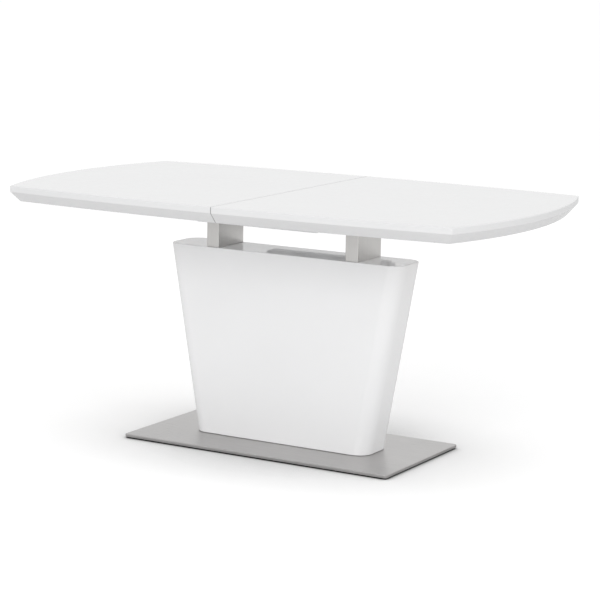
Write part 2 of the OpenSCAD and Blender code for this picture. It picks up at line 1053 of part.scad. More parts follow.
module pedestal_battens() {
    color("burlywood")
        difference() {
            for (y = [-1, 1], z = [plate_z + floor_t, cap_z - cap_t - batten])
                translate([-batten_half, y * batten_y - batten / 2, z])
                    cube([2 * batten_half, batten, batten]);
            batten_screw_set();
        }
}

module batten_screws() {
    color("gray") batten_screw_set();
}

// ---------------------------------------------------------------- base

module base_core() {
    inner = cover_t;
    color("black")
        difference() {
            translate([0, 0, pad_h])
                round_block(base_l - 2 * inner, base_w - 2 * inner, base_corner_r - inner,
                            base_t - inner);
            foot_bolt_set(bolt_fit);
            for (end = [-1, 1], x = bolt_xs, y = [-1, 1])
                translate([end * x, y * bolt_y, pad_h - eps])
                    cylinder(h = bolt_head_h + bolt_sunk + eps, r = bolt_head_r + bolt_head_gap, $fn = 32);
        }
}

module base_cover() {
    inner = cover_t;
    color("lightgray")
        difference() {
            translate([0, 0, cover_z])
                round_block(base_l, base_w, base_corner_r, plate_z - cover_z);
            translate([0, 0, cover_z - eps])
                round_block(base_l - 2 * inner, base_w - 2 * inner, base_corner_r - inner,
                            plate_z - inner - cover_z + eps);
            foot_bolt_set(bolt_fit);
        }
}

module base_pads() {
    color("black")
        for (x = [-1, -1 / 3, 1 / 3, 1], y = [-1, 1])
            translate([x * (base_l / 2 - pad_end_in), y * (base_w / 2 - pad_side_in), 0])
                cylinder(h = pad_h, r = pad_r, $fn = 48);
}

right_top_panel();
left_top_panel();
right_edge_frame();
left_edge_frame();
right_front_runner();
right_rear_runner();
left_front_runner();
left_rear_runner();
right_front_rack();
right_rear_rack();
left_front_rack();
left_rear_rack();
right_cross_batten();
left_cross_batten();
right_runner_screws();
left_runner_screws();
dowel_pins();
dowel_sockets();
front_latch_lever();
rear_latch_lever();
latch_blocks();
latch_keepers();
front_center_rail();
rear_center_rail();
front_pinion();
rear_pinion();
pinion_axles();
rail_stop_pins();
rail_screws();
left_bearer();
right_bearer();
head_bolts();
left_head_plate();
right_head_plate();
leaf_lower_panel();
leaf_upper_panel();
leaf_lower_frame();
leaf_upper_frame();
leaf_hinges();
leaf_dowels();
leaf_rest_rails();
leaf_pivot_bar();
leaf_pivot_brackets();
left_post();
right_post();
left_column();
right_column();
left_foot_plate();
right_foot_plate();
lower_tie();
upper_tie();
foot_bolts();
pedestal_shell();
pedestal_cap();
pedestal_floor();
pedestal_battens();
batten_screws();
base_core();
base_cover();
base_pads();
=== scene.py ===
"""Looks of the extendable dining table: fine skins, finishes, studio and camera.

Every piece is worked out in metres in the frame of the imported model: X runs along
the table, the front faces -Y and Z points up from the floor.
"""

from __future__ import annotations

import json
import logging
import math
from dataclasses import dataclass, field
from enum import Enum

import bpy
import numpy as np
from mathutils import Matrix, Vector


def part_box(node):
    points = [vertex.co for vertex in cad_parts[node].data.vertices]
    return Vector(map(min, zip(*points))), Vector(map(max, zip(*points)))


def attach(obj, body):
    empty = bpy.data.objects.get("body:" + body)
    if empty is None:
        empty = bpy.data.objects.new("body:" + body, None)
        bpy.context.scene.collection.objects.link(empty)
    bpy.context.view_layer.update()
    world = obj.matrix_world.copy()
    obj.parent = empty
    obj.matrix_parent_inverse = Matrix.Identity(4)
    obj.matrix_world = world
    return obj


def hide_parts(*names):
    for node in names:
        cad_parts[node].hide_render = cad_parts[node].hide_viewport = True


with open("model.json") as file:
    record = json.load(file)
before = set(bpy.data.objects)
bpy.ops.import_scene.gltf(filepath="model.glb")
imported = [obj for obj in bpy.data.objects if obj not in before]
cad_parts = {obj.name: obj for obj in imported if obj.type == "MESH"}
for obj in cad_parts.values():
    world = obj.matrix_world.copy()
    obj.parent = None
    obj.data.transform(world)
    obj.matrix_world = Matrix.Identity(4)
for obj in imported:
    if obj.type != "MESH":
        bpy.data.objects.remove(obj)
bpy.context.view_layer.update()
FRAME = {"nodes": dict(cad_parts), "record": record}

Array = np.ndarray
Colour = tuple[float, float, float]
LOG = logging.getLogger("dining_table")
MM = 0.001
LEVEL_RUN = 0.6 * MM
SIDES = np.array([[1, 1], [-1, 1], [-1, -1], [1, -1]])


# ------------------------------------------------------------------ shader graphs


class Grain(Enum):
    """Direction in which a metal is brushed or a board is planed."""

    ALONG_X = (1.0, 0.0, 0.0)
    ALONG_Y = (0.0, 1.0, 0.0)
    UPRIGHT = (0.0, 0.0, 1.0)


class Graph:
    """Short way to build the node tree of one material."""

    def __init__(self, name: str) -> None:
        """Starts an empty material with an output node.

        Args:
            name: Name of the material.
        """
        self.material = bpy.data.materials.new(name)
        self.material.use_nodes = True
        self.tree = self.material.node_tree
        self.tree.nodes.clear()
        self.output = self.node("ShaderNodeOutputMaterial")

    def node(self, kind: str, settings: dict | None = None, **inputs: object) -> bpy.types.Node:
        """Adds a node, sets its properties and fills or links its inputs.

        Args:
            kind: Blender's identifier of the node.
            settings: Properties of the node itself.
            inputs: Values or sockets by input name, with underscores for spaces.

        Returns:
            The new node.
        """
        made = self.tree.nodes.new(kind)
        for key, value in (settings or {}).items():
            setattr(made, key, value)
        for key, value in inputs.items():
            self.feed(made.inputs[key.replace("_", " ")], value)
        return made

    def feed(self, socket: bpy.types.NodeSocket, value: object) -> None:
        """Links a socket to another socket, or sets it to a constant."""
        if isinstance(value, bpy.types.NodeSocket):
            self.tree.links.new(value, socket)
        else:
            socket.default_value = value

    def place(self, scale: tuple[float, float, float] = (1.0, 1.0, 1.0)) -> bpy.types.NodeSocket:
        """Object coordinates in metres, stretched by a scale on each axis."""
        where = self.node("ShaderNodeTexCoord")
        return self.node("ShaderNodeMapping", Vector=where.outputs["Object"],
                         Scale=scale).outputs["Vector"]

    def noise(self, scale: float, stretch: tuple[float, float, float] = (1.0, 1.0, 1.0),
              detail: float = 3.0, roughness: float = 0.5) -> bpy.types.NodeSocket:
        """Fractal noise on object coordinates.

        Args:
            scale: Cells per metre.
            stretch: Factor on each axis before the noise.
            detail: Octaves of the noise.
            roughness: Weight of the finer octaves.

        Returns:
            The socket with a value around one half.
        """
        return self.node("ShaderNodeTexNoise", Vector=self.place(stretch), Scale=scale,
                         Detail=detail, Roughness=roughness).outputs["Fac"]

    def spread(self, source: bpy.types.NodeSocket, low: float, high: float,
               start: float = 0.3, end: float = 0.7) -> bpy.types.NodeSocket:
        """Maps a value from the range start to end on the range low to high."""
        made = self.node("ShaderNodeMapRange", Value=source)
        for key, value in (("From Min", start), ("From Max", end),
                           ("To Min", low), ("To Max", high)):
            made.inputs[key].default_value = value
        return made.outputs["Result"]

    def tones(self, source: bpy.types.NodeSocket, dark: Colour, light: Colour,
              start: float = 0.3, end: float = 0.7) -> bpy.types.NodeSocket:
        """Blends from a dark to a light colour as the value goes from start to end."""
        ramp = self.node("ShaderNodeValToRGB", Fac=source)
        stops = ramp.color_ramp.elements
        stops[0].position, stops[0].color = start, (*dark, 1.0)
        stops[1].position, stops[1].color = end, (*light, 1.0)
        return ramp.outputs["Color"]

    def multiplied(self, first: bpy.types.NodeSocket, second: bpy.types.NodeSocket,
                   share: float) -> bpy.types.NodeSocket:
        """Multiplies a colour by another one, by a share of the full effect."""
        mixed = self.node("ShaderNodeMix", {"data_type": "RGBA", "blend_type": "MULTIPLY"})
        colours = [socket for socket in mixed.inputs if socket.type == "RGBA"]
        self.feed(mixed.inputs["Factor"], share)
        self.feed(colours[0], first)
        self.feed(colours[1], second)
        return next(socket for socket in mixed.outputs if socket.type == "RGBA")

    def times(self, first: object, second: object, power: bool = False) -> bpy.types.NodeSocket:
        """Product of two values, or the first one to the power of the second."""
        made = self.node("ShaderNodeMath", {"operation": "POWER" if power else "MULTIPLY"})
        self.feed(made.inputs[0], first)
        self.feed(made.inputs[1], second)
        return made.outputs["Value"]

    def bump(self, height: bpy.types.NodeSocket, depth: float,
             below: bpy.types.NodeSocket | None = None) -> bpy.types.NodeSocket:
        """Relief of a height map, with its depth in metres, on top of another relief."""
        made = self.node("ShaderNodeBump", Height=height, Strength=1.0, Distance=depth)
        if below is not None:
            self.feed(made.inputs["Normal"], below)
        return made.outputs["Normal"]

    def finish(self, **inputs: object) -> bpy.types.Material:
        """Adds the surface shader, links it to the output and returns the material."""
        shader = self.node("ShaderNodeBsdfPrincipled", **inputs)
        self.feed(self.output.inputs["Surface"], shader.outputs["BSDF"])
        return self.material


def tint(colour: Colour, factor: float) -> Colour:
    """A colour made lighter or darker by a factor, kept within range."""
    return tuple(min(1.0, channel * factor) for channel in colour)


@dataclass(frozen=True)
class Finish:
    """A surface finish that makes its material once.

    Attributes:
        name: Name of the material.
        colour: Mean base colour.
        roughness: Mean roughness.
    """

    name: str
    colour: Colour
    roughness: float

    def material(self) -> bpy.types.Material:
        """The material of this finish, made at the first call."""
        name = f"fine_{self.name}"
        return bpy.data.materials.get(name) or self.make(Graph(name))

    def make(self, graph: Graph) -> bpy.types.Material:
        """Builds the node tree."""
        raise NotImplementedError

    def varied(self, graph: Graph, source: bpy.types.NodeSocket, low: float = 0.85,
               high: float = 1.2, start: float = 0.3, end: float = 0.7) -> bpy.types.NodeSocket:
        """Roughness that follows a noise, between two shares of the mean roughness."""
        return graph.spread(source, low * self.roughness, high * self.roughness, start, end)


@dataclass(frozen=True)
class Lacquer(Finish):
    """Sprayed white lacquer: even colour, slight orange peel and a clear top coat.

    Attributes:
        coat: Weight of the clear coat.
        peel: Depth of the orange peel.
        seam: How far from the middle of the table the faces are darkened, a painted shadow in the
            seam's gap.
        cells: Cells per metre of the cloudy tone, the peel, the wave and the sheen.
        wave: Depth of the wave over that of the peel.
        seam_shadow_tone: Tone of the faces under the painted seam shadow over that of the lacquer.
    """

    coat: float = 0.5
    peel: float = 0.006 * MM
    seam: float = 0.0
    cells: tuple[float, float, float, float] = (5.0, 240.0, 22.0, 60.0)
    wave: float = 6.0
    seam_shadow_tone: float = 0.45

    def make(self, graph: Graph) -> bpy.types.Material:
        """Builds the lacquer from a cloudy tone, a fine peel and a polished coat."""
        cloudy, fine, broad, sheen = self.cells
        cloud = graph.noise(cloudy, detail=4.0)
        peel = graph.noise(fine, detail=2.0)
        wave = graph.noise(broad, detail=1.0)
        relief = graph.bump(peel, self.peel, graph.bump(wave, self.wave * self.peel))
        colour = graph.tones(cloud, tint(self.colour, 0.985), self.colour)
        # Painted shadow in the seam's gap, where the finish has a seam.
        if self.seam:
            colour = self.paint_seam_shadow(graph, colour)
        return graph.finish(
            Base_Color=colour,
            Roughness=self.varied(graph, graph.noise(sheen)),
            IOR=1.5, Coat_Weight=self.coat, Coat_Roughness=0.02, Normal=relief)

    def paint_seam_shadow(self, graph: Graph, colour: bpy.types.NodeSocket) -> bpy.types.NodeSocket:
        """Paints a shadow into the colour where the board's edge meets the seam, as shade in the
        gap.
        """
        across = graph.node("ShaderNodeSeparateXYZ", Vector=graph.place()).outputs["X"]
        off = graph.node("ShaderNodeMath", {"operation": "ABSOLUTE"}, Value=across)
        seam_shadow = graph.spread(off.outputs["Value"], self.seam_shadow_tone, 1.0, 0.9 * self.seam, self.seam)
        return graph.multiplied(colour, seam_shadow, 1.0)


@dataclass(frozen=True)
class Brushed(Finish):
    """Brushed metal: fine lines along one direction, soft clouds and stretched highlights.

    Attributes:
        grain: Direction of the lines.
        contrast: How far the lines vary in tone.
        anisotropy: How far highlights stretch across the lines.
        depth: Depth of the lines.
        cells: Cells per metre of the fine lines, the broad lines and the clouds.
        drawn: How much longer the lines' cells are along the grain, as a factor on it.
        window: Noise values between which the tone goes from dark to light.
    """

    grain: Grain = Grain.ALONG_X
    contrast: float = 0.1
    anisotropy: float = 0.6
    depth: float = 0.004 * MM
    cells: tuple[float, float, float] = (1400.0, 150.0, 4.0)
    drawn: float = 0.02
    window: tuple[float, float] = (0.38, 0.62)

    def make(self, graph: Graph) -> bpy.types.Material:
        """Builds the metal from two noises drawn out along the grain."""
        stretch = tuple(self.drawn if along else 1.0 for along in self.grain.value)
        fine = graph.noise(self.cells[0], stretch, detail=2.0)
        broad = graph.noise(self.cells[1], stretch, detail=4.0, roughness=0.7)
        clouds = graph.noise(self.cells[2], detail=3.0)
        lines = graph.node("ShaderNodeMix", {"data_type": "FLOAT"}, Factor=0.45, A=fine, B=broad)
        tone = graph.node("ShaderNodeMix", {"data_type": "FLOAT"}, Factor=0.25,
                          A=lines.outputs["Result"], B=clouds).outputs["Result"]
        tangent = graph.node("ShaderNodeTangent", {"direction_type": "UV_MAP", "uv_map": "grain"})
        return graph.finish(
            Base_Color=graph.tones(tone, tint(self.colour, 1.0 - self.contrast),
                                   tint(self.colour, 1.0 + self.contrast), *self.window),
            Metallic=1.0, Anisotropic=self.anisotropy, Tangent=tangent.outputs["Tangent"],
            Roughness=self.varied(graph, tone, 0.8, 1.2, *self.window),
            Normal=graph.bump(tone, self.depth))


@dataclass(frozen=True)
class Metal(Finish):
    """Plain metal with drawn or machined marks and faint handling wear.

    Attributes:
        stretch: Factor on each axis before the marks' noise.
        marks: Cells per metre of the marks.
        depth: Depth of the marks.
        wear: Cells per metre of the wear.
        window: Noise values between which the tone goes from dark to light.
    """

    stretch: tuple[float, float, float] = (1.0, 1.0, 1.0)
    marks: float = 900.0
    depth: float = 0.004 * MM
    wear: float = 38.0
    window: tuple[float, float] = (0.35, 0.65)

    def make(self, graph: Graph) -> bpy.types.Material:
        """Builds the metal from fine marks over broad patches of wear."""
        marks = graph.noise(self.marks, self.stretch, detail=3.0)
        wear = graph.noise(self.wear, detail=5.0, roughness=0.65)
        tone = graph.node("ShaderNodeMix", {"data_type": "FLOAT"}, Factor=0.5,
                          A=marks, B=wear).outputs["Result"]
        return graph.finish(
            Base_Color=graph.tones(tone, tint(self.colour, 0.84), tint(self.colour, 1.1),
                                   *self.window),
            Metallic=1.0, Roughness=self.varied(graph, tone, 0.75, 1.25, *self.window),
            Normal=graph.bump(marks, self.depth))


@dataclass(frozen=True)
class Planed(Finish):
    """Planed hardwood: bands of growth along the board, pores and a soft sheen.

    Attributes:
        grain: Direction of the grain.
        cells: Cells per metre of the bands and of the pores.
        drawn: How much longer the cells are along the grain, as a factor on it.
        pore: Depth of the pores.
        fleck: Tint of the pores.
    """

    grain: Grain = Grain.ALONG_X
    cells: tuple[float, float] = (70.0, 900.0)
    drawn: float = 0.06
    pore: float = 0.03 * MM
    fleck: Colour = (0.55, 0.45, 0.36)

    def make(self, graph: Graph) -> bpy.types.Material:
        """Builds the wood from long bands, darker pores and a little bump."""
        stretch = tuple(self.drawn if along else 1.0 for along in self.grain.value)
        bands = graph.noise(self.cells[0], stretch, detail=5.0, roughness=0.6)
        pores = graph.noise(self.cells[1], stretch, detail=2.0)
        wood = graph.tones(bands, tint(self.colour, 0.72), tint(self.colour, 1.06), 0.32, 0.66)
        flecks = graph.tones(pores, self.fleck, (1.0, 1.0, 1.0), 0.3, 0.42)
        return graph.finish(
            Base_Color=graph.multiplied(wood, flecks, 0.5),
            Roughness=self.varied(graph, bands, 0.8, 1.15),
            Normal=graph.bump(pores, self.pore))


@dataclass(frozen=True)
class Moulded(Finish):
    """Moulded rubber or a powder coat: dull, with a fine grain on its skin.

    Attributes:
        cells: Cells of the grain per metre.
        depth: Depth of the grain.
        cloud: Cells per metre of the cloudy tone.
    """

    cells: float = 1500.0
    depth: float = 0.02 * MM
    cloud: float = 30.0

    def make(self, graph: Graph) -> bpy.types.Material:
        """Builds the skin from a fine grain and cloudy tones."""
        grain = graph.noise(self.cells, detail=2.0)
        cloud = graph.noise(self.cloud, detail=4.0)
        return graph.finish(
            Base_Color=graph.tones(cloud, tint(self.colour, 0.8), tint(self.colour, 1.2)),
            Roughness=self.varied(graph, grain, high=1.15),
            Normal=graph.bump(grain, self.depth))


class Finishes:
    """The finishes of this table, by the record's material slots."""

    # The top's faces within 1.2 mm of the seam get a painted shadow, shade standing for the gap
    # between the halves.
    top = Lacquer("top_lacquer", (0.762, 0.762, 0.767), 0.11, 0.3, seam=1.2 * MM)
    leaf = Lacquer("leaf_lacquer", (0.78, 0.78, 0.785), 0.16, 0.2)
    # Set lighter than the top's lacquer: painted light that lifts the pedestal and its cap out of
    # the shade under the top.
    pedestal = Lacquer("pedestal_lacquer", (0.90, 0.90, 0.905), 0.03, 0.0)
    plate = Brushed("brushed_steel", (0.49, 0.481, 0.476), 0.34, contrast=0.16)
    post = Brushed("post_steel", (0.68, 0.67, 0.655), 0.36, Grain.UPRIGHT, 0.05)
    rail = Metal("rail_aluminium", (0.78, 0.79, 0.80), 0.36, (0.02, 1.0, 1.0))
    rack = Metal("rack_steel", (0.40, 0.41, 0.42), 0.38)
    brass = Metal("brass", (0.80, 0.60, 0.28), 0.26)
    zinc = Metal("zinc_fasteners", (0.70, 0.71, 0.73), 0.30)
    nickel = Metal("nickel_fittings", (0.74, 0.72, 0.69), 0.20, marks=500.0)
    frame = Moulded("grey_frame_paint", (0.70, 0.70, 0.71), 0.48, 1100.0)
    black = Moulded("black_steel", (0.012, 0.012, 0.012), 0.42, 1300.0)
    beech = Planed("beech", (0.70, 0.50, 0.31), 0.55)
    rubber = Moulded("black_rubber", (0.015, 0.015, 0.015), 0.75, 1600.0, 0.04 * MM)

    @classmethod
    def by_slot(cls) -> dict[str, Finish]:
        """Every finish by the name of its slot."""
        return {f.name: f for f in vars(cls).values() if isinstance(f, Finish)}


# ------------------------------------------------------------------ skins


@dataclass
class Skin:
    """Points and faces of one closed piece, gathered from grids and caps."""

    points: list[Array] = field(default_factory=list)
    faces: list[list[int]] = field(default_factory=list)
    count: int = 0

    def grid(self, rows: Array, around: bool = True, looped: bool = False) -> Array:
        """Adds a grid of points with four-sided faces between its neighbours.

        Args:
            rows: Points in an array of rows, columns and the three axes.
            around: Whether the last column joins the first.
            looped: Whether the last row joins the first.

        Returns:
            The numbers of the points, by row and column.
        """
        index = self.count + np.arange(rows.shape[0] * rows.shape[1]).reshape(rows.shape[:2])
        self.points.append(rows.reshape(-1, 3))
        self.count += index.size
        wide = np.concatenate([index, index[:, :1]], 1) if around else index
        wide = np.concatenate([wide, wide[:1]], 0) if looped else wide
        quads = np.stack([wide[:-1, :-1], wide[:-1, 1:], wide[1:, 1:], wide[1:, :-1]], -1)
        self.faces += quads.reshape(-1, 4).tolist()
        return index

    def solid(self, rows: Array) -> Skin:
        """Adds a stack of rings and closes it with a face below and a face above."""
        index = self.grid(rows)
        self.faces += [index[0, ::-1].tolist(), index[-1].tolist()]
        return self

    def mirrored(self) -> Skin:
        """The same skin on the other side of the seam, with its faces turned outwards."""
        flipped = [p * np.array([-1.0, 1.0, 1.0]) for p in self.points]
        return Skin(flipped, [f[::-1] for f in self.faces], self.count)

    def piece(self, name: str, finish: Finish, body: str, *nodes: str,
              grain: Grain = Grain.ALONG_X, crease: float = 32.0) -> bpy.types.Object:
        """Makes the mesh object, dresses it and hangs it on its body.

        Args:
            name: Name of the piece.
            finish: Finish of its surface, which is also its slot's name.
            body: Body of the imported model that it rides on.
            nodes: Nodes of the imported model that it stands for.
            grain: Direction of the grain for brushed finishes.
            crease: Angle in degrees above which an edge is sharp.

        Returns:
            The finished object.
        """
        mesh = bpy.data.meshes.new(name)
        mesh.from_pydata(np.concatenate(self.points), [], self.faces)
        mesh.update()
        mesh.polygons.foreach_set("use_smooth", np.ones(len(mesh.polygons), bool))
        mesh.set_sharp_from_angle(angle=math.radians(crease))
        lay_grain(mesh, grain)
        made = bpy.data.objects.new(name, mesh)
        bpy.context.scene.collection.objects.link(made)
        dress(made, finish)
        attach(made, body)
        if nodes:
            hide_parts(*nodes)
        LOG.info("%s: %d faces on %s", name, len(mesh.polygons), body)
        return made


def dress(made: bpy.types.Object, finish: Finish) -> None:
    """Gives an object one material, in place of any that it had."""
    made.data.materials.clear()
    made.data.materials.append(finish.material())


def lay_grain(mesh: bpy.types.Mesh, grain: Grain) -> None:
    """Writes a UV map in metres whose U runs along the grain on every face that allows it.

    Each face is laid flat along the axis that its normal is nearest to. Of the two axes
    left, the grain's own is U where it is there, and the first one otherwise.

    Args:
        mesh: The mesh that gets the map.
        grain: Direction of the grain.
    """
    loops = np.zeros(len(mesh.loops), int)
    mesh.loops.foreach_get("vertex_index", loops)
    where = np.zeros(len(mesh.vertices) * 3)
    mesh.vertices.foreach_get("co", where)
    normals = np.zeros(len(mesh.polygons) * 3)
    mesh.polygons.foreach_get("normal", normals)
    sides = np.zeros(len(mesh.polygons), int)
    mesh.polygons.foreach_get("loop_total", sides)
    flat = np.repeat(np.abs(normals.reshape(-1, 3)).argmax(1), sides)
    along = int(np.argmax(grain.value))
    first = np.where(flat == along, (along + 1) % 3, along)
    second = 3 - flat - first
    corner = where.reshape(-1, 3)[loops]
    pick = np.arange(len(loops))
    uv = np.stack([corner[pick, first], corner[pick, second]], -1)
    mesh.uv_layers.new(name="grain").data.foreach_set("uv", uv.ravel())


def arc(start: Array | float, end: Array | float, steps: int, closed: bool = False) -> Array:
    """Evenly spaced angles from start to end, without the end unless closed is set."""
    share = np.linspace(0.0, 1.0, steps + 1)[:None if closed else -1]
    return np.asarray(start)[..., None] + (np.asarray(end) - np.asarray(start))[..., None] * share


def wall_profile(low: float, high: float, bottom: float, top: float,
                 steps: int = 6, run: float = LEVEL_RUN) -> tuple[Array, Array]:
    """Section of a wall: how far it is set in, and its height.

    A quarter circle of radius bottom, an upright and a quarter circle of radius top, with
    a short level run before the first and after the last, so that the flats shade flat.

    Args:
        low: Height of the lowest point.
        high: Height of the highest point.
        bottom: Radius of the lower arris.
        top: Radius of the upper arris.
        steps: Facets of each arris.
        run: Length of the level runs.

    Returns:
        The insets and the heights.
    """
    t = np.linspace(0.0, math.pi / 2, steps + 1)
    inset = np.concatenate([[bottom + run], bottom * (1 - np.sin(t)),
                            top * (1 - np.cos(t)), [top + run]])
    height = np.concatenate([[low], low + bottom * (1 - np.cos(t)),
                             high - top * (1 - np.sin(t)), [high]])
    return inset, height


def tube_profile(low: float, high: float, wall: float, edge: float,
                 steps: int = 4) -> tuple[Array, Array]:
    """Section of a tube's wall as a closed loop with four rounded arrises.

    Args:
        low: Height of the lower end.
        high: Height of the upper end.
        wall: Thickness of the wall.
        edge: Radius of its arrises.
        steps: Facets of each arris.

    Returns:
        The insets and the heights, up the outside and down the inside.
    """
    t = np.linspace(0.0, math.pi / 2, steps + 1)
    rise, fall = edge * (1 - np.sin(t)), edge * (1 - np.cos(t))
    inset = np.concatenate([rise, fall, wall - rise, wall - fall])
    height = np.concatenate([low + fall, high - rise, high - fall, low + rise])
    return inset, height


def stack(ring: Array, height: Array) -> Array:
    """Lifts flat rings to their heights, one height for each ring."""
    level = np.broadcast_to(np.asarray(height)[:, None, None], (*ring.shape[:2], 1))
    return np.concatenate([ring, level], -1)


@dataclass(frozen=True)
class RoundedRectangle:
    """Rectangle with round corners, whose rings are set in evenly.

    Attributes:
        centre: Its middle.
        half: Half of its size on each axis.
        corner: Radius of its corners.
        steps: Facets of each corner.
    """

    centre: tuple[float, float]
    half: tuple[float, float]
    corner: float
    steps: int = 8

    def rings(self, inset: Array) -> Array:
        """Anticlockwise rings: each corner's middle stays, and its radius is less by the inset."""
        angle = np.concatenate([arc(a, a + math.pi / 2, self.steps, True)
                                for a in np.arange(4) * math.pi / 2])
        way = np.stack([np.cos(angle), np.sin(angle)], -1)
        side = np.repeat(SIDES, self.steps + 1, 0)
        middle = np.array(self.centre) + side * (np.array(self.half) - self.corner)
        return middle + (self.corner - np.asarray(inset))[:, None, None] * way


@dataclass(frozen=True)
class Bar:
    """Upright or lying bar or plate with softened arrises, between two corners of a box.

    Attributes:
        low: Lowest corner.
        high: Highest corner.
        edge: Radius of its level arrises.
        corner: Radius of its upright arrises.
    """

    low: Vector
    high: Vector
    edge: float = 0.6 * MM
    corner: float = 1.4 * MM

    def outline(self) -> RoundedRectangle:
        """Its outline seen from above."""
        middle, half = (self.low + self.high) / 2, (self.high - self.low) / 2
        return RoundedRectangle((middle.x, middle.y), (half.x, half.y), self.corner)

    def solid(self) -> Skin:
        """The bar as a filled block."""
        inset, height = wall_profile(self.low.z, self.high.z, self.edge, self.edge,
                                     run=0.5 * (self.corner - self.edge))
        return Skin().solid(stack(self.outline().rings(inset), height))

    def tube(self, wall: float) -> Skin:
        """The bar as an upright tube with open ends."""
        inset, height = tube_profile(self.low.z, self.high.z, wall, self.edge)
        made = Skin()
        made.grid(stack(self.outline().rings(inset), height), looped=True)
        return made


# ------------------------------------------------------------------ tabletop


@dataclass(frozen=True)
class BoatOutline:
    """Outline of one half of the top: two shallow arcs, a round corner at each end of them.

    Attributes:
        length: Length of the whole top.
        width: Width of the whole top.
        side_bow: How far a long edge bows outwards.
        end_bow: How far an end bows outwards.
        seam: Where the half starts beside the seam.
        fillet: Radius of the corners.
        steps: Facets of the long edge, a corner and half of the end.
    """

    length: float
    width: float
    side_bow: float = 37 * MM
    end_bow: float = 76 * MM
    seam: float = 0.4 * MM
    fillet: float = 5 * MM
    steps: tuple[int, int, int] = (60, 10, 36)

    def path(self, inset: Array, seam_inset: Array, fillet: float | None = None) -> Array:
        """Rings of the right half from the front of the seam round to its rear.

        Each ring is an arc of the side's radius less the inset, a fillet and an arc of the
        end's radius less the inset. The fillet's middle is where two circles meet that are
        smaller than those arcs by its radius. The rear half mirrors the front half.

        Args:
            inset: How far each ring is set in from the outline.
            seam_inset: How far each ring is set in from the seam.
            fillet: Radius of the corner, if not the outline's own.

        Returns:
            Points in an array of rings, points and two axes.
        """
        inset, start = np.asarray(inset, float), self.seam + np.asarray(seam_inset, float)
        fillet = self.fillet if fillet is None else fillet
        corner_x, corner_y = self.length / 2 - self.end_bow, self.width / 2 - self.side_bow
        side_r = (corner_x ** 2 + self.side_bow ** 2) / (2 * self.side_bow)
        end_r = (corner_y ** 2 + self.end_bow ** 2) / (2 * self.end_bow)
        side_mid, end_mid = side_r - self.width / 2, end_r - self.length / 2
        near, far = end_r - inset - fillet, side_r - inset - fillet
        apart = math.hypot(end_mid, side_mid)
        along = (near ** 2 - far ** 2 + apart ** 2) / (2 * apart)
        off = np.sqrt(near ** 2 - along ** 2)
        middle_x = -end_mid + (along * end_mid + off * side_mid) / apart
        middle_y = (along * side_mid - off * end_mid) / apart
        seam_turn = np.arctan2(-np.sqrt((side_r - inset) ** 2 - start ** 2), start)
        side_turn = np.arctan2(middle_y - side_mid, middle_x)
        end_turn = np.arctan2(middle_y, middle_x + end_mid)
        side, turn, end = (arc(seam_turn, side_turn, self.steps[0]),
                           arc(side_turn, end_turn, self.steps[1]),
                           arc(end_turn, np.zeros_like(end_turn), self.steps[2], True))
        x = np.concatenate([(side_r - inset)[:, None] * np.cos(side),
                            middle_x[:, None] + fillet * np.cos(turn),
                            -end_mid + (end_r - inset)[:, None] * np.cos(end)], 1)
        y = np.concatenate([side_mid + (side_r - inset)[:, None] * np.sin(side),
                            middle_y[:, None] + fillet * np.sin(turn),
                            (end_r - inset)[:, None] * np.sin(end)], 1)
        front = np.stack([x, y], -1)
        rear = front[:, -2::-1] * np.array([1.0, -1.0])
        return np.concatenate([front, rear], 1)


